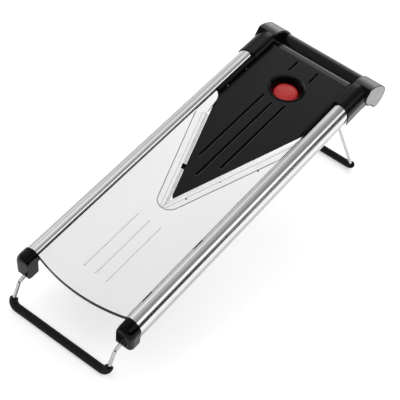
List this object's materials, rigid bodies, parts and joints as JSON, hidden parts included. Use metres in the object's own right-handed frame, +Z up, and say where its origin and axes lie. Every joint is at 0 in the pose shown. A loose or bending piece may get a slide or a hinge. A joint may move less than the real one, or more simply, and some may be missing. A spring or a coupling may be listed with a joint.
{
  "type": "mandoline slicer",
  "caption": "V-blade mandoline slicer with steel rails, sliding ribbed feed plate with a red push-button lock, black handle and two folding wire feet.",
  "frame": {"origin": "centre of the bounding box, at the surface both feet stand on", "axes": "+Y from the front foot to the handle, +Z up, +X to the right of a user who faces the handle; the deck rises 14.6 degrees towards +Y"},
  "size_m": [0.1328, 0.4314, 0.1456],
  "materials": {
    "rail_steel": "brushed along the rail",
    "plate_steel": "fine satin",
    "blade_steel": "ground satin",
    "spring_steel": "plain bright",
    "chrome_wire": "polished",
    "feed_plastic": "satin charcoal",
    "gloss_black": "glossy",
    "handle_black": "semi-gloss",
    "cover_grey": "satin",
    "button_red": "satin red",
    "foot_rubber": "matte",
    "inner_plastic": "moulded"
  },
  "bodies": {
    "frame": {"left_rail": "rail_steel", "right_rail": "rail_steel", "front_tie": "rail_steel", "middle_tie": "rail_steel", "landing_plate": "plate_steel", "blade_holder": "blade_steel", "left_blade": "blade_steel", "right_blade": "blade_steel", "blade_rivet_1": "spring_steel", "blade_rivet_2": "spring_steel", "blade_rivet_3": "spring_steel", "blade_rivet_4": "spring_steel", "tie_rivet_1": "spring_steel", "tie_rivet_2": "spring_steel", "tie_rivet_3": "spring_steel", "tie_rivet_4": "spring_steel", "left_cap_pin": "spring_steel", "right_cap_pin": "spring_steel", "left_handle_pin": "spring_steel", "right_handle_pin": "spring_steel", "left_guide": "gloss_black", "right_guide": "gloss_black", "left_front_cap": "gloss_black", "right_front_cap": "gloss_black", "handle": "handle_black", "left_end_cover": "cover_grey", "right_end_cover": "cover_grey", "left_pivot_block": "inner_plastic", "right_pivot_block": "inner_plastic"},
    "front_foot": {"front_foot_wire": "chrome_wire", "front_foot_sleeve": "foot_rubber"},
    "rear_foot": {"rear_foot_wire": "chrome_wire", "rear_foot_sleeve": "foot_rubber"},
    "feed": {"feed_plate": "feed_plastic", "button_collar": "gloss_black", "lock_housing": "inner_plastic", "housing_screw_1": "spring_steel", "housing_screw_2": "spring_steel", "button_spring": "spring_steel"},
    "button": {"lock_button": "button_red"},
    "lock": {"lock_bar": "inner_plastic"}
  },
  "joints": [
    {"name": "front_foot_fold", "type": "hinge", "parent": "frame", "child": "front_foot", "pos_m": [0, -0.1933, 0.03561], "axis": [1, 0, 0], "range_deg": [0, 125]},
    {"name": "rear_foot_fold", "type": "hinge", "parent": "frame", "child": "rear_foot", "pos_m": [0, 0.10743, 0.12082], "axis": [1, 0, 0], "range_deg": [-112, 0]},
    {"name": "feed_plate_slide", "type": "slide", "parent": "frame", "child": "feed", "axis": [0, 0.9035, -0.4285], "range_m": [0, 0.007]},
    {"name": "lock_button_press", "type": "slide", "parent": "feed", "child": "button", "axis": [0, 0.2373, -0.9714], "range_m": [0, 0.002], "stiffness_N_per_m": 800, "springref_m": -0.001, "deforming": ["button_spring"]},
    {"name": "lock_bar_slide", "type": "slide", "parent": "feed", "child": "lock", "axis": [0, 0.9714, 0.2373], "range_m": [0, 0.002]}
  ],
  "couplings": [
    {"joint": "lock_bar_slide", "follows": "lock_button_press", "ratio": 1}
  ]
}
